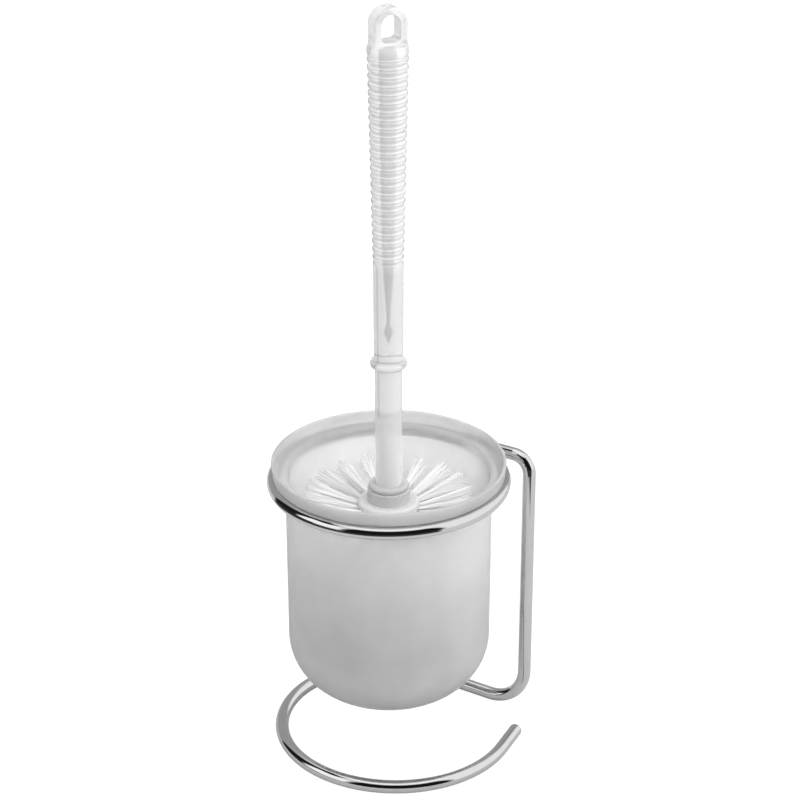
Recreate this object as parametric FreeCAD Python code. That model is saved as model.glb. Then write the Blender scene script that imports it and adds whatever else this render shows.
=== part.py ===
"""Toilet brush set: a clear-handled brush stands in a frosted cup, and the cup hangs in a bent wire stand.

Millimetres, +Z up. The origin is the centre of the stand's floor loop, on the floor.
Each physical piece is one node, and like pieces of one row of the brush head share a node as separate solids.
"""

import FreeCAD, Part

import math
import os

Vector = FreeCAD.Vector
UP = Vector(0, 0, 1)
CLOSE = 0.01  # how near two measures are to count as the same

# Stand: one length of bent round wire
WIRE_RADIUS = 3.2
LOOP_RADIUS = 57.3  # centreline of the floor loop, its front and left
LOOP_END_DEG = -25.0  # where the floor loop runs out into its straight open end
LOOP_TAIL = 19.8  # that straight end's length
LOOP_BACK_DEG = 155.0  # where the floor loop tightens towards the lower arm
ARM_DEG = -33.0  # the lower arm's direction towards the post
POST_X, POST_Y = 64.9, 16.5
LOWER_BEND = 20.0
UPPER_BEND = 8.7
RING_X, RING_Y, RING_Z = -3.4, -5.2, 143.1
RING_RADIUS = 54.9
RING_END_DEG = 24.0
END_ROUND = 1.6  # rounding of the wire's two cut ends

# Cup: hangs by its collar on the ring, on the ring's own axis
CUP_FLOOR_Z = 31.5
CUP_CORNER = 29.0
CUP_RADIUS_LOW = 49.1  # outside, just above the rounded corner
CUP_RADIUS_HIGH = 49.4  # outside, just below the collar
CUP_WALL = 1.5
COLLAR_CLEAR = 0.3  # gap between the collar and the wire it rests on
COLLAR_RADIUS_LOW = 55.3
RIM_RADIUS = 56.0
RIM_Z = 153.3
RIM_ROUND = 0.6
LEDGE_ROUND = 2.6

# Handle: one moulding from the hanging eye down to the foot flange
HANDLE_TOP_Z = 374.3
EYE_WIDTH, EYE_THICK = 16.1, 8.6
EYE_HOLE_WIDTH, EYE_HOLE_TOP, EYE_HOLE_BOTTOM = 9.6, 371.2, 358.6
EYE_HOLE_CORNER = 2.6  # at the foot of the hole
EYE_TURN_DEG = 23.0
EYE_ROUND = 1.1
TOP_BEAD_Z, TOP_BEAD_RADIUS, TOP_BEAD_HALF = 354.4, 9.5, 2.6
GRIP_TOP_Z, GRIP_BOTTOM_Z = 351.7, 254.2
GRIP_RADIUS_TOP, GRIP_RADIUS_BOTTOM = 9.4, 7.25  # over the ribs
RIBS = 25
RIB_HEIGHT = 0.75
RIB_SHARE = 0.62  # the part of each pitch that stands out as the rib, above half height
BEAD_CROWN = 0.7  # how far the top bead stands out from the handle inside it
SHANK_RADIUS_TOP, SHANK_RADIUS_BOTTOM = 7.1, 6.8
MID_BEAD_Z, MID_BEAD_RADIUS, MID_BEAD_HALF = 203.8, 8.7, 2.1
STEM_RADIUS_TOP, STEM_RADIUS_BOTTOM = 6.45, 6.4
FLANGE_TOP_Z, FLANGE_BOTTOM_Z, FLANGE_RADIUS = 141.5, 138.5, 9.6
FLANGE_ROUND = 1.35
SOCKET_RADIUS, SOCKET_TOP_Z = 4.3, 165.5

# Brush head
NECK_RADIUS = 10.2
CORE_TOP_Z, CORE_DOME_Z = 132.5, 63.0
CORE_RADIUS = 14.5
CORE_EDGE_ROUND = 1.5
SPIGOT_END_GAP = 0.7
SPIGOT_CLEAR = 0.05
HOLE_RADIUS, HOLE_DEPTH = 1.4, 4.0
HOLE_RUN_OUT = 3.0  # the cutter's length past the core's surface
TUFT_CLEAR = 0.05  # between a tuft's root and its hole
SIDE_TUFT_TIP, DOME_TUFT_TIP = 3.4, 2.4  # radius of a tuft at its tip
ANCHOR_WIDTH, ANCHOR_HEIGHT, ANCHOR_THICK = 3.2, 1.3, 0.5
ANCHOR_SEAT = 0.5  # from the hole's bottom to the anchor's lower edge
SIDE_ROWS = 8
SIDE_ROW_TOP_Z = 128.0
SIDE_ROW_PITCH = 8.6
SIDE_ROW_TUFTS = 18
ROW_START_DEG = 6.0
SIDE_TIP_RADIUS = 41.4  # from the brush's axis to a side tuft's tip
TOP_ROW_RISE_DEG, LOW_ROW_DROP_DEG = 13.0, -12.0
# Rows on the domed end: slope in degrees, tufts, and the tips' distance from the dome's centre
DOME_ROWS = ((-22.0, 14, 38.2), (-47.0, 10, 36.6), (-74.0, 4, 27.5))

AXIS = Vector(RING_X, RING_Y, 0)


def at(x, y, z=0.0):
    return Vector(x, y, z)


def polar(centre, radius, degrees, z):
    angle = math.radians(degrees)
    return Vector(centre.x + radius * math.cos(angle), centre.y + radius * math.sin(angle), z)


def turned(radial, z, centre=AXIS):
    """A profile point: radial millimetres out from an upright axis, at height z."""
    return Vector(centre.x + radial, centre.y, z)


def line(a, b):
    return Part.makeLine(a, b)


def arc(a, middle, b):
    return Part.Arc(a, middle, b).toShape()


def corner_arc(centre_r, centre_z, radius, from_deg, to_deg):
    """An arc of a profile, given by its centre in (radial, z) and its end angles."""
    points = []
    for degrees in (from_deg, (from_deg + to_deg) / 2, to_deg):
        angle = math.radians(degrees)
        points.append(turned(centre_r + radius * math.cos(angle), centre_z + radius * math.sin(angle)))
    return arc(*points)


def revolved(edges, centre=AXIS):
    face = Part.Face(Part.Wire(Part.__sortEdges__(edges)))
    return Part.Solid(face.revolve(centre, UP, 360))


def wire_disc(centre, direction):
    return Part.Face(Part.Wire(Part.makeCircle(WIRE_RADIUS, centre, direction)))


def wire_straight(a, b):
    return Part.makeCylinder(WIRE_RADIUS, (b - a).Length, a, b - a)


def wire_bend(start, direction, centre, axis, degrees):
    """A bent stretch of wire: a disc swung about an axis through the bend's centre."""
    return wire_disc(start, direction).revolve(centre, axis, degrees)


def wire_tip(end, direction):
    """The last few millimetres of the wire past its path's end, with its cut edge rounded."""
    stub = Part.makeCylinder(WIRE_RADIUS, 2 * END_ROUND, end, direction)
    far = end + direction * 2 * END_ROUND
    rim = [edge for edge in stub.Edges if (edge.CenterOfMass - far).Length < CLOSE and edge.Closed]
    return stub.makeFillet(END_ROUND, rim)


def make_wire_stand():
    """One wire: ring, upper arm, upper bend, post, lower bend, lower arm, floor loop and its open end."""
    post_top = at(POST_X, POST_Y, RING_Z)
    ring_centre = at(RING_X, RING_Y, RING_Z)
    to_post = post_top - ring_centre
    bearing = math.degrees(math.atan2(to_post.y, to_post.x))
    leave_deg = bearing + math.degrees(math.acos(RING_RADIUS / to_post.Length))
    ring_leave = polar(ring_centre, RING_RADIUS, leave_deg, RING_Z)
    upper_run = (post_top - ring_leave).normalize()
    upper_start = post_top - upper_run * UPPER_BEND

    ring_sweep = 360 + RING_END_DEG - leave_deg
    ring_end = polar(ring_centre, RING_RADIUS, RING_END_DEG, RING_Z)
    ring_heading = UP.cross(ring_end - ring_centre).normalize()

    loop_z = WIRE_RADIUS
    arm_angle = math.radians(ARM_DEG)
    lower_run = at(math.cos(arm_angle), math.sin(arm_angle))
    post_foot = at(POST_X, POST_Y, loop_z)
    lower_start = post_foot - lower_run * LOWER_BEND
    across = UP.cross(lower_run)
    arm_offset = across.dot(at(POST_X, POST_Y))
    join_deg = LOOP_BACK_DEG
    join_ray = polar(at(0, 0), 1, join_deg, 0)
    share = across.dot(join_ray)
    back_radius = (arm_offset - share * LOOP_RADIUS) / (1 - share)
    back_centre = join_ray * (LOOP_RADIUS - back_radius) + UP * loop_z
    arm_end = back_centre + across * back_radius
    back_sweep = join_deg - (ARM_DEG + 90)
    loop_centre = at(0, 0, loop_z)
    loop_join = polar(loop_centre, LOOP_RADIUS, join_deg, loop_z)
    loop_sweep = 360 + LOOP_END_DEG - join_deg
    tail_start = polar(loop_centre, LOOP_RADIUS, LOOP_END_DEG, loop_z)
    tail_heading = UP.cross(tail_start - loop_centre).normalize()
    tail_end = tail_start + tail_heading * (LOOP_TAIL - 2 * END_ROUND)

    pieces = [
        wire_tip(ring_end, ring_heading),
        wire_bend(ring_leave, UP.cross(ring_leave - ring_centre), ring_centre, UP, ring_sweep),
        wire_straight(ring_leave, upper_start),
        wire_bend(upper_start, upper_run, upper_start - UP * UPPER_BEND, UP.cross(upper_run), 90),
        wire_straight(post_top - UP * UPPER_BEND, post_foot + UP * LOWER_BEND),
        wire_bend(lower_start, lower_run, lower_start + UP * LOWER_BEND, UP.cross(lower_run), -90),
        wire_straight(arm_end, lower_start),
        wire_bend(arm_end, lower_run, back_centre, UP, back_sweep),
        wire_bend(loop_join, UP.cross(loop_join - loop_centre), loop_centre, UP, loop_sweep),
        wire_straight(tail_start, tail_end),
        wire_tip(tail_end, tail_heading),
    ]
    print("back of the floor loop: radius", round(back_radius, 2))
    return pieces[0].multiFuse(pieces[1:])


def make_cup():
    """An open cup with a rounded bottom, and a wider collar above a step that rests on the ring."""
    step_z = RING_Z + WIRE_RADIUS + COLLAR_CLEAR
    corner_z = CUP_FLOOR_Z + CUP_CORNER
    flat = CUP_RADIUS_LOW - CUP_CORNER
    inner_corner = CUP_CORNER - CUP_WALL
    inner_high = CUP_RADIUS_HIGH - CUP_WALL
    ledge_z = step_z + CUP_WALL
    collar_in_low = COLLAR_RADIUS_LOW - CUP_WALL
    rim_in = RIM_RADIUS - CUP_WALL
    outer = [
        line(turned(0, CUP_FLOOR_Z), turned(flat, CUP_FLOOR_Z)),
        corner_arc(flat, corner_z, CUP_CORNER, -90, 0),
        line(turned(CUP_RADIUS_LOW, corner_z), turned(CUP_RADIUS_HIGH, step_z)),
        line(turned(CUP_RADIUS_HIGH, step_z), turned(COLLAR_RADIUS_LOW, step_z)),
        line(turned(COLLAR_RADIUS_LOW, step_z), turned(RIM_RADIUS, RIM_Z)),
        line(turned(RIM_RADIUS, RIM_Z), turned(rim_in, RIM_Z)),
    ]
    inner = [
        line(turned(rim_in, RIM_Z), turned(collar_in_low, ledge_z)),
        line(turned(collar_in_low, ledge_z), turned(inner_high, ledge_z)),
        line(turned(inner_high, ledge_z), turned(CUP_RADIUS_LOW - CUP_WALL, corner_z)),
        corner_arc(flat, corner_z, inner_corner, 0, -90),
        line(turned(flat, CUP_FLOOR_Z + CUP_WALL), turned(0, CUP_FLOOR_Z + CUP_WALL)),
        line(turned(0, CUP_FLOOR_Z + CUP_WALL), turned(0, CUP_FLOOR_Z)),
    ]
    cup = revolved(outer + inner)

    def rings(z, radius):
        closed = [edge for edge in cup.Edges if edge.Closed]
        level = [edge for edge in closed if abs(edge.CenterOfMass.z - z) < CLOSE]
        return [edge for edge in level if abs(edge.Curve.Radius - radius) < CLOSE]

    cup = cup.makeFillet(RIM_ROUND, rings(RIM_Z, RIM_RADIUS) + rings(RIM_Z, rim_in))
    cup = cup.makeFillet(RIM_ROUND, rings(step_z, COLLAR_RADIUS_LOW))
    return cup.makeFillet(LEDGE_ROUND, rings(ledge_z, inner_high) + rings(ledge_z, collar_in_low))


def bead(z, radius, half, core_radius):
    """A smooth ring-shaped swelling on a stem: an arc through its crest, closed at the axis."""
    top = turned(core_radius, z + half)
    crest = turned(radius, z)
    bottom = turned(core_radius, z - half)
    axis_top = turned(0, z + half)
    axis_bottom = turned(0, z - half)
    closing = [line(bottom, axis_bottom), line(axis_bottom, axis_top), line(axis_top, top)]
    return revolved([arc(top, crest, bottom), *closing])


def grip_edges():
    """The grip's ribbed side, from its top down: an outward arc for each rib, then an inward one."""
    pitch = (GRIP_TOP_Z - GRIP_BOTTOM_Z) / RIBS
    fall = (GRIP_RADIUS_TOP - GRIP_RADIUS_BOTTOM) / (GRIP_TOP_Z - GRIP_BOTTOM_Z)

    def side(z, depth):
        return turned(GRIP_RADIUS_BOTTOM + fall * (z - GRIP_BOTTOM_Z) - depth, z)

    half = RIB_HEIGHT / 2
    edges = []
    for rib in range(RIBS):
        top = GRIP_TOP_Z - rib * pitch
        foot = top - pitch * RIB_SHARE
        end = top - pitch
        edges.append(arc(side(top, half), side((top + foot) / 2, 0), side(foot, half)))
        edges.append(arc(side(foot, half), side((foot + end) / 2, RIB_HEIGHT), side(end, half)))
    return edges


def make_eye():
    """The hanging eye: a thick arched plate with an upright oblong hole, turned about the handle's axis."""
    half = EYE_WIDTH / 2
    front = -EYE_THICK / 2
    arch_z = HANDLE_TOP_Z - half
    foot_z = TOP_BEAD_Z
    outline = [
        line(at(-half, front, foot_z), at(-half, front, arch_z)),
        arc(at(-half, front, arch_z), at(0, front, HANDLE_TOP_Z), at(half, front, arch_z)),
        line(at(half, front, arch_z), at(half, front, foot_z)),
        line(at(half, front, foot_z), at(-half, front, foot_z)),
    ]
    plate = Part.Face(Part.Wire(outline)).extrude(at(0, EYE_THICK))
    hole_r = EYE_HOLE_WIDTH / 2
    top = EYE_HOLE_TOP - hole_r
    slot = [
        line(at(-hole_r, front, EYE_HOLE_BOTTOM), at(-hole_r, front, top)),
        arc(at(-hole_r, front, top), at(0, front, EYE_HOLE_TOP), at(hole_r, front, top)),
        line(at(hole_r, front, top), at(hole_r, front, EYE_HOLE_BOTTOM)),
        line(at(hole_r, front, EYE_HOLE_BOTTOM), at(-hole_r, front, EYE_HOLE_BOTTOM)),
    ]
    hole = Part.Face(Part.Wire(slot)).extrude(at(0, EYE_THICK))
    foot_corners = [
        edge
        for edge in hole.Edges
        if abs(edge.CenterOfMass.y) < CLOSE and abs(edge.CenterOfMass.z - EYE_HOLE_BOTTOM) < CLOSE
        and abs(edge.CenterOfMass.x) > hole_r - CLOSE
    ]
    hole = hole.makeFillet(EYE_HOLE_CORNER, foot_corners)
    plate = plate.cut(hole)
    outer_rim = [
        edge
        for edge in plate.Edges
        if abs(abs(edge.CenterOfMass.y) - EYE_THICK / 2) < CLOSE
        and edge.BoundBox.ZMax > arch_z - CLOSE
        and max(abs(edge.BoundBox.XMin), abs(edge.BoundBox.XMax)) > half - CLOSE
    ]
    plate = plate.makeFillet(EYE_ROUND, outer_rim)
    plate.rotate(at(0, 0), UP, EYE_TURN_DEG)
    plate.translate(AXIS)
    return plate


def make_handle():
    """The handle is turned about its axis, with the eye on top and a socket for the head in its foot."""
    shank_top = turned(SHANK_RADIUS_TOP, GRIP_BOTTOM_Z)
    ribs = grip_edges()
    first = ribs[0].Vertexes[0].Point
    last = ribs[-1].Vertexes[1].Point
    bead_core = TOP_BEAD_RADIUS - BEAD_CROWN
    neck = turned(bead_core, TOP_BEAD_Z - TOP_BEAD_HALF)
    edges = [
        line(turned(0, TOP_BEAD_Z), turned(bead_core, TOP_BEAD_Z)),
        line(turned(bead_core, TOP_BEAD_Z), neck),
        line(neck, first),
        *ribs,
        line(last, shank_top),
        line(shank_top, turned(SHANK_RADIUS_BOTTOM, MID_BEAD_Z)),
        line(turned(SHANK_RADIUS_BOTTOM, MID_BEAD_Z), turned(STEM_RADIUS_TOP, MID_BEAD_Z)),
        line(turned(STEM_RADIUS_TOP, MID_BEAD_Z), turned(STEM_RADIUS_BOTTOM, FLANGE_TOP_Z)),
        line(turned(STEM_RADIUS_BOTTOM, FLANGE_TOP_Z), turned(STEM_RADIUS_BOTTOM, FLANGE_BOTTOM_Z)),
        line(turned(STEM_RADIUS_BOTTOM, FLANGE_BOTTOM_Z), turned(0, FLANGE_BOTTOM_Z)),
        line(turned(0, FLANGE_BOTTOM_Z), turned(0, TOP_BEAD_Z)),
    ]
    flange_height = FLANGE_TOP_Z - FLANGE_BOTTOM_Z
    flange = Part.makeCylinder(FLANGE_RADIUS, flange_height, turned(0, FLANGE_BOTTOM_Z), UP)
    flange = flange.makeFillet(FLANGE_ROUND, [edge for edge in flange.Edges if edge.Closed])
    handle = revolved(edges).multiFuse(
        [
            bead(TOP_BEAD_Z, TOP_BEAD_RADIUS, TOP_BEAD_HALF, bead_core),
            bead(MID_BEAD_Z, MID_BEAD_RADIUS, MID_BEAD_HALF, STEM_RADIUS_TOP),
            flange,
            make_eye(),
        ]
    )
    socket = Part.makeCylinder(SOCKET_RADIUS, SOCKET_TOP_Z - FLANGE_BOTTOM_Z, turned(0, FLANGE_BOTTOM_Z), UP)
    return handle.cut(socket)


def tuft_seats():
    """For each row, a list of (point on the core, outward direction, free length, tip radius)."""
    rows = []
    for row in range(SIDE_ROWS):
        z = SIDE_ROW_TOP_Z - row * SIDE_ROW_PITCH
        share = row / (SIDE_ROWS - 1)
        slope = math.radians(TOP_ROW_RISE_DEG + (LOW_ROW_DROP_DEG - TOP_ROW_RISE_DEG) * share)
        free = (SIDE_TIP_RADIUS - CORE_RADIUS) / math.cos(slope)
        rows.append(row_seats(row, SIDE_ROW_TUFTS, slope, free, CORE_RADIUS, z, SIDE_TUFT_TIP))
    for extra, (slope_deg, tufts, reach) in enumerate(DOME_ROWS):
        slope = math.radians(slope_deg)
        radial = CORE_RADIUS * math.cos(slope)
        z = CORE_DOME_Z + CORE_RADIUS * math.sin(slope)
        free = reach - CORE_RADIUS
        rows.append(row_seats(SIDE_ROWS + extra, tufts, slope, free, radial, z, DOME_TUFT_TIP))
    return rows


def row_seats(row, tufts, slope, free, radial, z, tip):
    """One ring of seats. Every other row is turned by half a step, so the tufts are staggered."""
    seats = []
    for index in range(tufts):
        degrees = ROW_START_DEG + (index + 0.5 * (row % 2)) * 360 / tufts
        out = polar(at(0, 0), 1, degrees, 0)
        direction = out * math.cos(slope) + UP * math.sin(slope)
        seats.append((polar(AXIS, radial, degrees, z), direction, free, tip))
    return seats


def placed(shape, point, direction):
    """shape, drawn along +Z from the origin, moved to start at point and run along direction."""
    level = UP.cross(direction).normalize()
    turn = FreeCAD.Rotation(level, direction.cross(level), direction, "ZXY")
    shape.Placement = FreeCAD.Placement(point, turn)
    return shape


def make_hole(seat):
    point, direction, _, _ = seat
    cutter = Part.makeCylinder(HOLE_RADIUS, HOLE_DEPTH + HOLE_RUN_OUT)
    return placed(cutter, point - direction * HOLE_DEPTH, direction)


def make_anchor(seat):
    """The small metal plate that pins a folded tuft in its hole, biting into the hole's sides."""
    point, direction, _, _ = seat
    corner = at(-ANCHOR_WIDTH / 2, -ANCHOR_THICK / 2)
    plate = Part.makeBox(ANCHOR_WIDTH, ANCHOR_THICK, ANCHOR_HEIGHT, corner)
    return placed(plate, point - direction * (HOLE_DEPTH - ANCHOR_SEAT), direction)


def make_tuft(seat, anchor):
    """A bundle of bristles, folded round its anchor: straight in its hole, then flaring to the tip."""
    point, direction, free, tip = seat
    root = HOLE_RADIUS - TUFT_CLEAR
    stem = Part.makeCylinder(root, HOLE_DEPTH)
    flare = Part.makeCone(root, tip, free, at(0, 0, HOLE_DEPTH))
    tuft = placed(stem.fuse(flare), point - direction * HOLE_DEPTH, direction)
    return tuft.cut(anchor)


def make_core(holes, anchors):
    """The head's moulded core: spigot, neck, drilled barrel and domed end."""
    spigot_top = SOCKET_TOP_Z - SPIGOT_END_GAP
    spigot = SOCKET_RADIUS - SPIGOT_CLEAR
    edges = [
        line(turned(0, spigot_top), turned(spigot, spigot_top)),
        line(turned(spigot, spigot_top), turned(spigot, FLANGE_BOTTOM_Z)),
        line(turned(spigot, FLANGE_BOTTOM_Z), turned(NECK_RADIUS, FLANGE_BOTTOM_Z)),
        line(turned(NECK_RADIUS, FLANGE_BOTTOM_Z), turned(NECK_RADIUS, CORE_TOP_Z)),
        line(turned(NECK_RADIUS, CORE_TOP_Z), turned(CORE_RADIUS - CORE_EDGE_ROUND, CORE_TOP_Z)),
        corner_arc(CORE_RADIUS - CORE_EDGE_ROUND, CORE_TOP_Z - CORE_EDGE_ROUND, CORE_EDGE_ROUND, 90, 0),
        line(turned(CORE_RADIUS, CORE_TOP_Z - CORE_EDGE_ROUND), turned(CORE_RADIUS, CORE_DOME_Z)),
        corner_arc(0, CORE_DOME_Z, CORE_RADIUS, 0, -90),
        line(turned(0, CORE_DOME_Z - CORE_RADIUS), turned(0, spigot_top)),
    ]
    return revolved(edges).cut(Part.makeCompound(holes)).cut(Part.makeCompound(anchors))


def write(name, shape):
    solids = shape.Solids
    bad = [solid for solid in solids if not solid.isValid() or solid.Volume <= 0]
    volume = sum(solid.Volume for solid in solids) / 1000
    print(f"{name}: {len(solids)} solid(s), {volume:.2f} cm3, {len(bad)} bad")
    whole = solids[0] if len(solids) == 1 else Part.makeCompound(solids)
    whole.exportStep(f"parts/{name}.step")


def main():
    os.makedirs("parts", exist_ok=True)
    write("wire_stand", make_wire_stand().removeSplitter())
    write("cup", make_cup())
    write("handle", make_handle())
    holes, anchors = [], []
    for number, row in enumerate(tuft_seats(), 1):
        row_anchors = [make_anchor(seat) for seat in row]
        holes += [make_hole(seat) for seat in row]
        anchors += row_anchors
        tufts = [make_tuft(seat, anchor) for seat, anchor in zip(row, row_anchors)]
        write(f"bristle_row_{number:02d}", Part.makeCompound(tufts))
        write(f"anchor_row_{number:02d}", Part.makeCompound(row_anchors))
    write("brush_core", make_core(holes, anchors))


main()
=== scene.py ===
"""Looks of the toilet brush set: clear handle, frosted cup, bristles as filaments, bright chrome wire."""

import math
import random

import bpy
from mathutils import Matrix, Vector


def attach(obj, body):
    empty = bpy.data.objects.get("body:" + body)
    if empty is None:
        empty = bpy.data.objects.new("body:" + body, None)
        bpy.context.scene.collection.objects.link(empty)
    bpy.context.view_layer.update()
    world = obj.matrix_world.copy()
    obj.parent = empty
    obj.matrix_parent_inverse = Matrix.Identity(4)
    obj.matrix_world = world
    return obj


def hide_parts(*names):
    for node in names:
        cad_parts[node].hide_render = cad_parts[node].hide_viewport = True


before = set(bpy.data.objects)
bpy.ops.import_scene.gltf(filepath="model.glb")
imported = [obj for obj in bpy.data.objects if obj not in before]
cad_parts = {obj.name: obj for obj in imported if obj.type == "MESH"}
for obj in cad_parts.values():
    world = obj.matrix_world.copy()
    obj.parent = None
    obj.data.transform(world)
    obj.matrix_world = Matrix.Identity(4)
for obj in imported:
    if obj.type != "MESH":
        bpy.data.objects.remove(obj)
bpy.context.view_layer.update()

MM = 0.001
UP = Vector((0, 0, 1))

# Brush axis and the sizes of the head, as in the CAD, in millimetres
AXIS = Vector((-3.4, -5.2, 0))
CORE_RADIUS = 14.5
CORE_DOME_Z = 63.0
HOLE_RADIUS, HOLE_DEPTH = 1.4, 4.0
SIDE_ROWS, SIDE_ROW_TUFTS = 8, 18
ROW_START_DEG = 6.0
SIDE_ROW_TOP_Z, SIDE_ROW_PITCH = 128.0, 8.6
SIDE_TIP_RADIUS = 41.4
TOP_ROW_RISE_DEG, LOW_ROW_DROP_DEG = 13.0, -12.0
DOME_ROWS = ((-22.0, 14, 38.2), (-47.0, 10, 36.6), (-74.0, 4, 27.5))

# Filaments
FILAMENTS = 32
FILAMENT_RADIUS = 0.165
FILAMENT_SIDES = 4
FILAMENT_STEPS = 4
FILAMENT_FOOT_GAP = 0.3
BUNDLE_RADIUS = HOLE_RADIUS - FILAMENT_RADIUS - 0.1
SIDE_TIP_SPREAD, DOME_TIP_SPREAD = 4.6, 2.2
TIP_JITTER, LENGTH_JITTER, OUTER_SHORTER = 0.35, 1.3, 0.5
BEND_POWER = 1.25

# Brightness of the plastics by height, (z in mm, level): partly their own tone and partly painted light and
# shade
# Cup: painted shade low on the body and on the collar, painted light higher up where the bristles sit
FROSTED_TONE_AND_SHADING = (
    (31.0, 0.76), (70.0, 0.76), (118.0, 0.97), (138.0, 1.0), (142.0, 0.95), (147.0, 0.73), (154.0, 0.71),
)
# Core: painted shadow on its neck under the handle's flange, painted light on the spigot inside the handle
CORE_TONE_AND_SHADING = ((40.0, 0.55), (130.0, 0.72), (134.0, 0.55), (138.6, 0.48), (139.0, 0.95), (166.0, 1.0))
# Handle: painted light at the flange and over the grip, painted shade on the shank
CLEAR_TONE_AND_SHADING = (
    (138.0, 1.0), (166.0, 0.98), (178.0, 0.81), (250.0, 0.79), (256.0, 0.93), (350.0, 0.93), (353.0, 0.96),
    (360.0, 0.9), (375.0, 0.88),
)

# Milkiness of the plastics: how far light wanders under the surface, in metres
SCATTER_REACH = 0.003

# Ribs of the grip, as in the CAD, and where their painted shade lines start on the liner and on the outer
# surface
GRIP_TOP_Z, GRIP_BOTTOM_Z, RIBS = 351.7, 254.2, 25
RIB_PITCH = (GRIP_TOP_Z - GRIP_BOTTOM_Z) / RIBS
LINER_LINE_Z = GRIP_TOP_Z - 0.31 * RIB_PITCH
SHELL_LINE_Z = GRIP_TOP_Z - 0.12 * RIB_PITCH

# Thin darker line down one side of the handle: direction from the axis, half width and soft edge in degrees,
# then heights in mm
SIDE_LINE_DEG = (-137.0, 2.0, 6.0)
SIDE_LINE_TOP_Z, SIDE_LINE_BOTTOM_Z, SIDE_LINE_END_SOFT = 253.5, 178.0, 0.5

# Air space moulded down the middle of the handle: (radius, z) from the bottom up, in mm. A tapering bore lies
# under the ribs, narrows to a thin neck below them, and ends in a small swelling and a point.
HOLLOW_SIDES = 48
HOLLOW_PROFILE = (
    (0, 213.9), (1.45, 219.3), (1.55, 220.6), (0.7, 224.0), (0.6, 226.0), (0.85, 232.0), (1.5, 244.0),
    (1.95, 254.0), (2.3, 270.0), (2.55, 300.0), (2.85, 330.0), (3.05, 351.0), (3.0, 352.4), (3.0, 355.6),
    (0, 355.7),
)

# Studio as gloss sees it: brightness, (azimuth from the front, elevation), half sizes, soft edge, in degrees
STUDIO = (
    (1.15, (95, 30), (40, 30), 12),
    (0.01, (4, 18), (42, 34), 8),
    (0.015, (-97, 12), (25, 50), 4),
    (1.35, (-68, 27), (19, 16), 7),
)
STUDIO_SIDES, STUDIO_TOP = 0.42, 1.3
STUDIO_RISE_DEG = (35, 75)

# Soft light on matt surfaces: its level, and how much it gains toward the right and the top
SOFT_LEVEL, SOFT_FROM_RIGHT, SOFT_FROM_TOP = 1.28, 0.26, 0.2

# Floor, in metres. Past some distance gloss sees it dark, over azimuths given as centre, half and soft edge.
FLOOR_HALF = 3.0
DARK_FLOOR_START, DARK_FLOOR_SOFT = 0.22, 0.06
DARK_FLOOR_DEG = (-38, 80, 6)

# Key light: a disc's place, what it faces and its width, in metres, and its power in watts
KEY_PLACE, KEY_TARGET, KEY_SIZE, KEY_POWER = (0.9, -0.7, 1.2), (0, 0, 0.15), 0.9, 9

# Camera: place in metres, then lens and sensor in mm
CAMERA_PLACE = (0, -1.0192, 0.6598)
CAMERA_PITCH_DEG, CAMERA_YAW_DEG = -25.113, 0.110
LENS, SENSOR_WIDTH = 107.40, 36.0


# ---------------------------------------------------------------- shader nodes
def add(tree, kind, **settings):
    """A node with its properties set. Names of inputs are set through the dict called sockets."""
    sockets = settings.pop("sockets", {})
    node = tree.nodes.new(kind)
    for key, value in settings.items():
        setattr(node, key, value)
    for key, value in sockets.items():
        node.inputs[key].default_value = value
    return node


def feed(tree, value, socket):
    """Give a socket a constant, or link it to another node's output."""
    if isinstance(value, (int, float)):
        socket.default_value = value
    else:
        tree.links.new(value, socket)


def math_node(tree, operation, a, b=0.0):
    node = add(tree, "ShaderNodeMath", operation=operation)
    feed(tree, a, node.inputs[0])
    feed(tree, b, node.inputs[1])
    return node.outputs[0]


def product(tree, a, b):
    return math_node(tree, "MULTIPLY", a, b)


def map_range(tree, value, old, new=(0.0, 1.0), kind="LINEAR"):
    """Carry the range old over to new, and hold the ends beyond it."""
    node = add(tree, "ShaderNodeMapRange", interpolation_type=kind,
               sockets={"From Min": old[0], "From Max": old[1], "To Min": new[0], "To Max": new[1]})
    tree.links.new(value, node.inputs["Value"])
    return node.outputs["Result"]


def band(tree, value, centre, half, soft):
    """1 inside centre±half, falling smoothly to 0 over soft."""
    distance = math_node(tree, "ABSOLUTE", math_node(tree, "SUBTRACT", value, centre))
    return map_range(tree, distance, (half, half + soft), (1.0, 0.0), "SMOOTHSTEP")


def blend_value(tree, factor, below, above):
    """below where factor is 0, above where it is 1."""
    node = add(tree, "ShaderNodeMix", data_type="FLOAT")
    for index, value in ((0, factor), (2, below), (3, above)):
        feed(tree, value, node.inputs[index])
    return node.outputs[0]


def position(tree, output="Object"):
    """x, y and z of the point in the object's own coordinates, or of the direction with output Generated."""
    coord = add(tree, "ShaderNodeTexCoord")
    split = add(tree, "ShaderNodeSeparateXYZ")
    tree.links.new(coord.outputs[output], split.inputs[0])
    return split.outputs


def front_azimuth(tree, x, y):
    """Angle about the vertical, 0 toward the front and growing to the right."""
    return math_node(tree, "ARCTAN2", x, product(tree, y, -1))


def noise(tree, scale, detail=3.0, stretch=(1, 1, 1)):
    """Noise over the object's own coordinates, in metres; scale counts features per metre."""
    coord = add(tree, "ShaderNodeTexCoord")
    mapping = add(tree, "ShaderNodeMapping")
    mapping.inputs["Scale"].default_value = stretch
    texture = add(tree, "ShaderNodeTexNoise", sockets={"Scale": scale, "Detail": detail})
    tree.links.new(coord.outputs["Object"], mapping.inputs["Vector"])
    tree.links.new(mapping.outputs["Vector"], texture.inputs["Vector"])
    return texture.outputs["Fac"]


def spread(tree, value, low, high):
    """Map noise, which keeps near the middle, to the range low..high."""
    return map_range(tree, value, (0.3, 0.7), (low, high))


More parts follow.
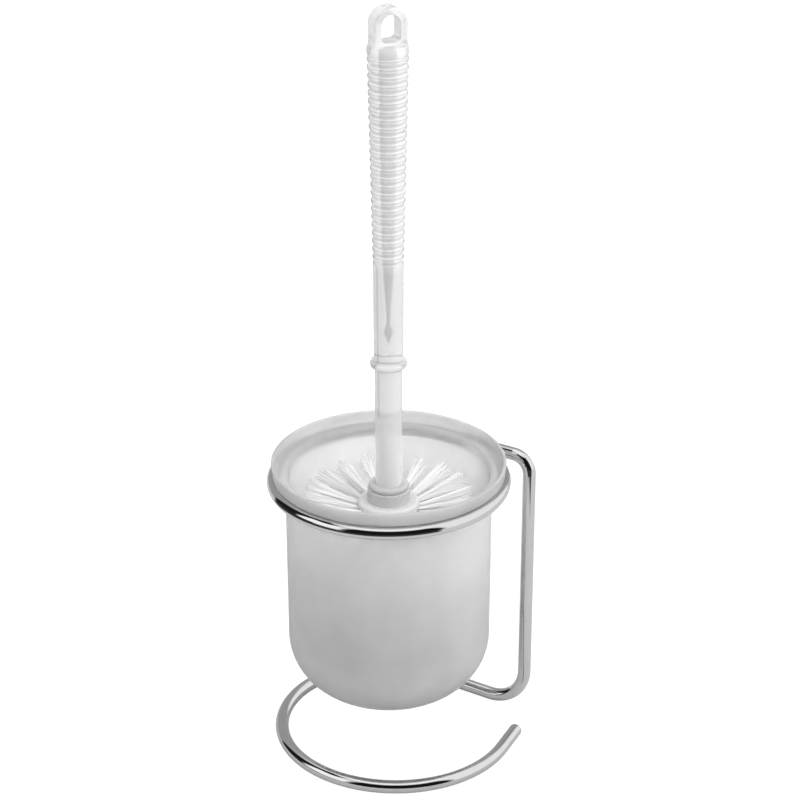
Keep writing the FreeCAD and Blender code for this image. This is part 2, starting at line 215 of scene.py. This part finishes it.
def colour_mix(tree, value, first, second):
    node = add(tree, "ShaderNodeMix", data_type="RGBA")
    node.inputs[6].default_value = (*first, 1)
    node.inputs[7].default_value = (*second, 1)
    tree.links.new(value, node.inputs[0])
    return node.outputs[2]


def tone_and_shading_by_height(tree, stops, grain, share):
    """Grey that changes with height, partly the plastic's tone and partly painted light and shade: (z in mm,
    level) stops, darkened by up to a share where grain is low.
    """
    low, high = stops[0][0], stops[-1][0]
    place = map_range(tree, position(tree)[2], (low * MM, high * MM))
    ramp = add(tree, "ShaderNodeValToRGB")
    points = ramp.color_ramp.elements
    while len(points) < len(stops):
        points.new(0.5)
    for point, (z, level) in zip(points, stops):
        point.position = (z - low) / (high - low)
        point.color = (level, level, level, 1)
    tree.links.new(place, ramp.inputs["Fac"])
    return product(tree, ramp.outputs["Color"], spread(tree, grain, 1 - share, 1.0))


def bumped(tree, shader, height, strength, distance):
    bump = add(tree, "ShaderNodeBump", sockets={"Strength": strength, "Distance": distance})
    tree.links.new(height, bump.inputs["Height"])
    tree.links.new(bump.outputs["Normal"], shader.inputs["Normal"])


# ---------------------------------------------------------------- materials
def new_material(name):
    material = bpy.data.materials.new(name)
    material.use_nodes = True
    nodes = material.node_tree.nodes
    return material, material.node_tree, nodes["Principled BSDF"]


def make_milky(shader, weight):
    shader.inputs["Subsurface Weight"].default_value = weight
    shader.inputs["Subsurface Radius"].default_value = (1, 1, 1)
    shader.inputs["Subsurface Scale"].default_value = SCATTER_REACH


def make_chrome():
    material, tree, shader = new_material("chrome")
    shader.inputs["Metallic"].default_value = 1.0
    wave = noise(tree, 160, 2.0)
    fine = noise(tree, 2600, 3.0)
    tree.links.new(colour_mix(tree, spread(tree, wave, 0, 1), (0.63, 0.635, 0.64), (0.66, 0.665, 0.67)),
                   shader.inputs["Base Color"])
    tree.links.new(spread(tree, fine, 0.025, 0.06), shader.inputs["Roughness"])
    bumped(tree, shader, wave, 0.05, 0.0004)
    return material


def make_frosted():
    material, tree, shader = new_material("frosted")
    shader.inputs["Transmission Weight"].default_value = 0.62
    shader.inputs["Specular IOR Level"].default_value = 0.1
    shader.inputs["IOR"].default_value = 1.22
    make_milky(shader, 1.0)
    grain = noise(tree, 3500, 4.0)
    cloud = noise(tree, 60, 3.0)
    # Cup colour by height: partly tone, partly painted light and shade
    tree.links.new(tone_and_shading_by_height(tree, FROSTED_TONE_AND_SHADING, cloud, 0.09), shader.inputs["Base Color"])
    tree.links.new(spread(tree, grain, 0.4, 0.46), shader.inputs["Roughness"])
    bumped(tree, shader, grain, 0.12, 0.0001)
    return material


def rib_wave(tree, start, share):
    """A wave over the height that peaks at start and once a rib from there, and a mask that is 1 on the ribs.

    Share is the part of the wave with two turns to a rib. The rest has one.
    """
    height = position(tree)[2]
    turns = product(tree, math_node(tree, "SUBTRACT", height, start * MM), math.tau / (RIB_PITCH * MM))
    single = product(tree, math_node(tree, "COSINE", turns), 1 - share)
    double = product(tree, math_node(tree, "COSINE", product(tree, turns, 2)), share)
    above = math_node(tree, "GREATER_THAN", height, GRIP_BOTTOM_Z * MM)
    below = math_node(tree, "LESS_THAN", height, GRIP_TOP_Z * MM)
    return math_node(tree, "ADD", single, double), product(tree, above, below)


def side_dark_line(tree):
    """1 on a thin line down one side of the shank and stem, 0 elsewhere."""
    x, y, z = position(tree)
    angle = math_node(tree, "ARCTAN2", math_node(tree, "SUBTRACT", y, AXIS.y * MM),
                      math_node(tree, "SUBTRACT", x, AXIS.x * MM))
    around = band(tree, angle, *(math.radians(value) for value in SIDE_LINE_DEG))
    middle, half = (SIDE_LINE_TOP_Z + SIDE_LINE_BOTTOM_Z) / 2 * MM, (SIDE_LINE_TOP_Z - SIDE_LINE_BOTTOM_Z) / 2 * MM
    return product(tree, around, band(tree, z, middle, half, SIDE_LINE_END_SOFT * MM))


def make_clear():
    """Clear plastic gone a little milky, with a fine darker line of painted shade under each rib and a darker
    line down one side of the shank and stem.
    """
    material, tree, shader = new_material("clear")
    shader.inputs["Transmission Weight"].default_value = 0.55
    shader.inputs["IOR"].default_value = 1.32
    shader.inputs["Specular IOR Level"].default_value = 0.25
    wave = noise(tree, 120, 2.0)
    fine = noise(tree, 1800, 3.0)
    crest, ribbed = rib_wave(tree, SHELL_LINE_Z, 0.4)
    # Painted shade: the colour darkens in a fine line just under each rib
    line = product(tree, map_range(tree, crest, (0.4, 0.95), (0.0, 0.28), "SMOOTHSTEP"), ribbed)
    # Handle colour by height: partly tone, partly painted light and shade
    level = tone_and_shading_by_height(tree, CLEAR_TONE_AND_SHADING, wave, 0.02)
    # Darker in a thin line down one side, and along the painted shade lines under the ribs
    for darker in (product(tree, side_dark_line(tree), 0.2), line):
        level = product(tree, level, math_node(tree, "SUBTRACT", 1.0, darker))
    tree.links.new(level, shader.inputs["Base Color"])
    tree.links.new(spread(tree, fine, 0.05, 0.08), shader.inputs["Roughness"])
    bumped(tree, shader, wave, 0.08, 0.0006)
    return material


def make_liner():
    """The air space's wall, which scatters light and reads as a soft grey strip inside the clear plastic. Its
    grey and its darker bands at the ribs are painted shade for the dark that the ribs and the air space make
    in the clear plastic.
    """
    material, tree, shader = new_material("liner")
    cloud = noise(tree, 200, 3.0)
    wave, ribbed = rib_wave(tree, LINER_LINE_Z, 0.8)
    # Painted shade: grey bands at the ribs, and a flat darker grey above and below the grip
    light = blend_value(tree, ribbed, 0.3, map_range(tree, wave, (-0.8, 0.8), (1.0, 0.0)))
    tree.links.new(colour_mix(tree, light, (0.3, 0.3, 0.3), (1.0, 1.0, 1.0)), shader.inputs["Base Color"])
    tree.links.new(spread(tree, cloud, 0.4, 0.6), shader.inputs["Roughness"])
    return material


def make_core_plastic():
    material, tree, shader = new_material("core")
    make_milky(shader, 0.5)
    cloud = noise(tree, 90, 3.0)
    fine = noise(tree, 1500, 3.0)
    # Core colour by height: partly tone, partly painted light and shade
    tree.links.new(tone_and_shading_by_height(tree, CORE_TONE_AND_SHADING, cloud, 0.05), shader.inputs["Base Color"])
    tree.links.new(spread(tree, fine, 0.22, 0.34), shader.inputs["Roughness"])
    bumped(tree, shader, fine, 0.06, 0.0002)
    return material


def make_fibre():
    material, tree, shader = new_material("fibre")
    streak = noise(tree, 900, 2.0)
    tree.links.new(colour_mix(tree, spread(tree, streak, 0, 1), (0.96, 0.96, 0.96), (1.0, 1.0, 1.0)),
                   shader.inputs["Base Color"])
    tree.links.new(spread(tree, streak, 0.3, 0.45), shader.inputs["Roughness"])
    return material


def make_steel():
    material, tree, shader = new_material("anchor")
    shader.inputs["Metallic"].default_value = 1.0
    brush = noise(tree, 700, 3.0, stretch=(1, 1, 8))
    tree.links.new(colour_mix(tree, spread(tree, brush, 0, 1), (0.5, 0.5, 0.49), (0.62, 0.62, 0.6)),
                   shader.inputs["Base Color"])
    tree.links.new(spread(tree, brush, 0.25, 0.45), shader.inputs["Roughness"])
    return material


def dress(node, material):
    """Give a CAD node's object a material in every slot."""
    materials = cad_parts[node].data.materials
    if not len(materials):
        materials.append(material)
    for index in range(len(materials)):
        materials[index] = material


# ---------------------------------------------------------------- meshes
def mesh_object(name, vertices, faces, material):
    mesh = bpy.data.meshes.new(name)
    mesh.from_pydata(vertices, [], faces)
    mesh.update()
    mesh.polygons.foreach_set("use_smooth", [True] * len(mesh.polygons))
    mesh.materials.append(material)
    piece = bpy.data.objects.new(name, mesh)
    bpy.context.scene.collection.objects.link(piece)
    return piece


def turned_wall(profile, sides):
    """A profile of (radius, z) in mm turned about the brush's axis, its faces inward. Radius 0 closes it."""
    vertices, faces, rings = [], [], []
    for radius, z in profile:
        if radius == 0:
            rings.append([len(vertices)] * sides)
            vertices.append((AXIS + UP * z) * MM)
            continue
        rings.append(list(range(len(vertices), len(vertices) + sides)))
        for side in range(sides):
            angle = math.tau * side / sides
            out = Vector((math.cos(angle), math.sin(angle), 0))
            vertices.append((AXIS + out * radius + UP * z) * MM)
    for lower, upper in zip(rings, rings[1:]):
        for side in range(sides):
            after = (side + 1) % sides
            corners = [upper[side], upper[after], lower[after], lower[side]]
            faces.append(list(dict.fromkeys(corners)))
    return vertices, faces


# ---------------------------------------------------------------- bristles
def seat_row(row, tufts, slope, free, radial, z):
    """One ring of tufts: (point on the core, outward direction, free length), staggered by half a step."""
    seats = []
    for index in range(tufts):
        angle = math.radians(ROW_START_DEG) + math.tau * (index + 0.5 * (row % 2)) / tufts
        out = Vector((math.cos(angle), math.sin(angle), 0))
        direction = out * math.cos(slope) + UP * math.sin(slope)
        seats.append((AXIS + out * radial + UP * z, direction, free))
    return seats


def tuft_rows():
    rows = []
    for row in range(SIDE_ROWS):
        share = row / (SIDE_ROWS - 1)
        slope = math.radians(TOP_ROW_RISE_DEG + (LOW_ROW_DROP_DEG - TOP_ROW_RISE_DEG) * share)
        free = (SIDE_TIP_RADIUS - CORE_RADIUS) / math.cos(slope)
        z = SIDE_ROW_TOP_Z - row * SIDE_ROW_PITCH
        rows.append(seat_row(row, SIDE_ROW_TUFTS, slope, free, CORE_RADIUS, z))
    for extra, (slope_deg, tufts, reach) in enumerate(DOME_ROWS):
        slope = math.radians(slope_deg)
        radial = CORE_RADIUS * math.cos(slope)
        z = CORE_DOME_Z + CORE_RADIUS * math.sin(slope)
        rows.append(seat_row(SIDE_ROWS + extra, tufts, slope, reach - CORE_RADIUS, radial, z))
    return rows


def disc_point(rng, radius):
    angle = rng.uniform(0, math.tau)
    reach = radius * math.sqrt(rng.random())
    return reach * math.cos(angle), reach * math.sin(angle), reach / radius


def add_filament(vertices, faces, rng, seat, spread_radius):
    """One bristle: straight in its hole, then bending out to its own place in the tuft's open tip."""
    point, direction, free = seat
    level = UP.cross(direction).normalized()
    upright = direction.cross(level)
    u, v, share = disc_point(rng, BUNDLE_RADIUS)
    fan = spread_radius / BUNDLE_RADIUS
    tip_u = u * fan + rng.uniform(-TIP_JITTER, TIP_JITTER)
    tip_v = v * fan + rng.uniform(-TIP_JITTER, TIP_JITTER)
    length = free - rng.uniform(0, LENGTH_JITTER) - OUTER_SHORTER * share
    base = len(vertices)
    twist = rng.uniform(0, math.tau)
    for step in range(FILAMENT_STEPS + 1):
        if step == 0:
            along, a, b = FILAMENT_FOOT_GAP - HOLE_DEPTH, u, v
        else:
            t = (step - 1) / (FILAMENT_STEPS - 1)
            along = length * t
            bend = t ** BEND_POWER
            a = u + (tip_u - u) * bend
            b = v + (tip_v - v) * bend
        centre = point + direction * along + level * a + upright * b
        for side in range(FILAMENT_SIDES):
            angle = twist + math.tau * side / FILAMENT_SIDES
            offset = level * math.cos(angle) + upright * math.sin(angle)
            vertices.append((centre + offset * FILAMENT_RADIUS) * MM)
    for step in range(FILAMENT_STEPS):
        for side in range(FILAMENT_SIDES):
            a = base + step * FILAMENT_SIDES + side
            b = base + step * FILAMENT_SIDES + (side + 1) % FILAMENT_SIDES
            faces.append((a, b, b + FILAMENT_SIDES, a + FILAMENT_SIDES))
    last = base + FILAMENT_STEPS * FILAMENT_SIDES
    faces.append(tuple(range(last, last + FILAMENT_SIDES)))
    faces.append(tuple(reversed(range(base, base + FILAMENT_SIDES))))


def make_bristles(material):
    rng = random.Random(7)
    for number, row in enumerate(tuft_rows(), 1):
        vertices, faces = [], []
        spread_radius = SIDE_TIP_SPREAD if number <= SIDE_ROWS else DOME_TIP_SPREAD
        for seat in row:
            for _ in range(FILAMENTS):
                add_filament(vertices, faces, rng, seat, spread_radius)
        tufts = mesh_object(f"tufts_{number:02d}", vertices, faces, material)
        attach(tufts, "brush")
        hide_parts(f"bristle_row_{number:02d}")


# ---------------------------------------------------------------- handle's air space
def make_hollow(material):
    vertices, faces = turned_wall(HOLLOW_PROFILE, HOLLOW_SIDES)
    hollow = mesh_object("handle_hollow", vertices, faces, material)
    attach(hollow, "brush")


# ---------------------------------------------------------------- stage
def make_floor():
    """A pale floor. The camera and the clear parts see it as bright as the backdrop, and gloss sees it grey.

    Farther out, in front and to the left, gloss sees it dark.
    """
    corners = [(-FLOOR_HALF, -FLOOR_HALF, 0), (FLOOR_HALF, -FLOOR_HALF, 0),
               (FLOOR_HALF, FLOOR_HALF, 0), (-FLOOR_HALF, FLOOR_HALF, 0)]
    mesh = bpy.data.meshes.new("floor")
    mesh.from_pydata([Vector(c) for c in corners], [], [(0, 1, 2, 3)])
    floor = bpy.data.objects.new("floor", mesh)
    bpy.context.scene.collection.objects.link(floor)
    material = bpy.data.materials.new("floor")
    material.use_nodes = True
    tree = material.node_tree
    tree.nodes.clear()
    path = add(tree, "ShaderNodeLightPath")
    x, y, _ = position(tree)
    reach = math_node(tree, "SQRT", math_node(tree, "ADD", product(tree, x, x), product(tree, y, y)))
    far = map_range(tree, reach, (DARK_FLOOR_START, DARK_FLOOR_START + DARK_FLOOR_SOFT), kind="SMOOTHSTEP")
    front = band(tree, front_azimuth(tree, x, y), *(math.radians(value) for value in DARK_FLOOR_DEG))
    dark = product(tree, product(tree, far, front), path.outputs["Is Glossy Ray"])
    grey = add(tree, "ShaderNodeBsdfDiffuse")
    tree.links.new(colour_mix(tree, dark, (0.5, 0.5, 0.5), (0.03, 0.03, 0.03)), grey.inputs["Color"])
    lit = add(tree, "ShaderNodeBsdfDiffuse", sockets={"Color": (0.12, 0.12, 0.12, 1)})
    glow = add(tree, "ShaderNodeEmission", sockets={"Color": (1, 1, 1, 1), "Strength": 0.96})
    both = add(tree, "ShaderNodeAddShader")
    tree.links.new(lit.outputs[0], both.inputs[0])
    tree.links.new(glow.outputs[0], both.inputs[1])
    seen = math_node(tree, "MAXIMUM", path.outputs["Is Camera Ray"], path.outputs["Is Transmission Ray"])
    mix = add(tree, "ShaderNodeMixShader")
    tree.links.new(seen, mix.inputs[0])
    tree.links.new(grey.outputs[0], mix.inputs[1])
    tree.links.new(both.outputs[0], mix.inputs[2])
    out = add(tree, "ShaderNodeOutputMaterial")
    tree.links.new(mix.outputs[0], out.inputs["Surface"])
    mesh.materials.append(material)


def patch(tree, azimuth, elevation, where, size, soft):
    """A soft-edged patch of the studio: where and size are (azimuth, elevation) in degrees."""
    across = band(tree, azimuth, math.radians(where[0]), math.radians(size[0]), math.radians(soft))
    along = band(tree, elevation, math.radians(where[1]), math.radians(size[1]), math.radians(soft))
    return product(tree, across, along)


def make_world():
    """Backdrop: white to the camera and clear parts, a soft gradient to matt parts, the studio to gloss."""
    world = bpy.data.worlds.new("studio")
    bpy.context.scene.world = world
    world.use_nodes = True
    tree = world.node_tree
    tree.nodes.clear()
    x, y, z = position(tree, "Generated")
    azimuth = front_azimuth(tree, x, y)
    elevation = math_node(tree, "ARCSINE", z)
    rise = map_range(tree, elevation, [math.radians(angle) for angle in STUDIO_RISE_DEG], kind="SMOOTHSTEP")
    gloss = blend_value(tree, rise, STUDIO_SIDES, STUDIO_TOP)
    for level, where, size, soft in STUDIO:
        gloss = blend_value(tree, patch(tree, azimuth, elevation, where, size, soft), gloss, level)
    slope = math_node(tree, "ADD", product(tree, x, SOFT_FROM_RIGHT), product(tree, z, SOFT_FROM_TOP))
    soft_light = math_node(tree, "ADD", slope, SOFT_LEVEL)
    path = add(tree, "ShaderNodeLightPath")
    seen = blend_value(tree, path.outputs["Is Diffuse Ray"], 1.0, soft_light)
    strength = blend_value(tree, path.outputs["Is Glossy Ray"], seen, gloss)
    background = add(tree, "ShaderNodeBackground", sockets={"Color": (1, 1, 1, 1)})
    tree.links.new(strength, background.inputs["Strength"])
    out = add(tree, "ShaderNodeOutputWorld")
    tree.links.new(background.outputs[0], out.inputs["Surface"])


def make_key_light():
    light = bpy.data.lights.new("key", "AREA")
    light.shape = "DISK"
    light.size = KEY_SIZE
    light.energy = KEY_POWER
    lamp = bpy.data.objects.new("key", light)
    lamp.location = KEY_PLACE
    aim = Vector(KEY_TARGET) - Vector(KEY_PLACE)
    lamp.rotation_euler = aim.to_track_quat("-Z", "Y").to_euler()
    lamp.visible_glossy = False
    bpy.context.scene.collection.objects.link(lamp)


def make_camera():
    camera = bpy.data.cameras.new("camera")
    camera.lens = LENS
    camera.sensor_width = SENSOR_WIDTH
    eye = bpy.data.objects.new("camera", camera)
    eye.location = CAMERA_PLACE
    eye.rotation_euler = (math.radians(90 + CAMERA_PITCH_DEG), 0, -math.radians(CAMERA_YAW_DEG))
    bpy.context.scene.collection.objects.link(eye)
    bpy.context.scene.camera = eye


make_camera()
make_world()
make_floor()
make_key_light()

dress("wire_stand", make_chrome())
dress("cup", make_frosted())
dress("handle", make_clear())
dress("brush_core", make_core_plastic())
steel = make_steel()
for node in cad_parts:
    if node.startswith("anchor_row"):
        dress(node, steel)
make_bristles(make_fibre())
make_hollow(make_liner())

view = bpy.context.scene.view_settings
view.view_transform = "Standard"
view.look = "None"
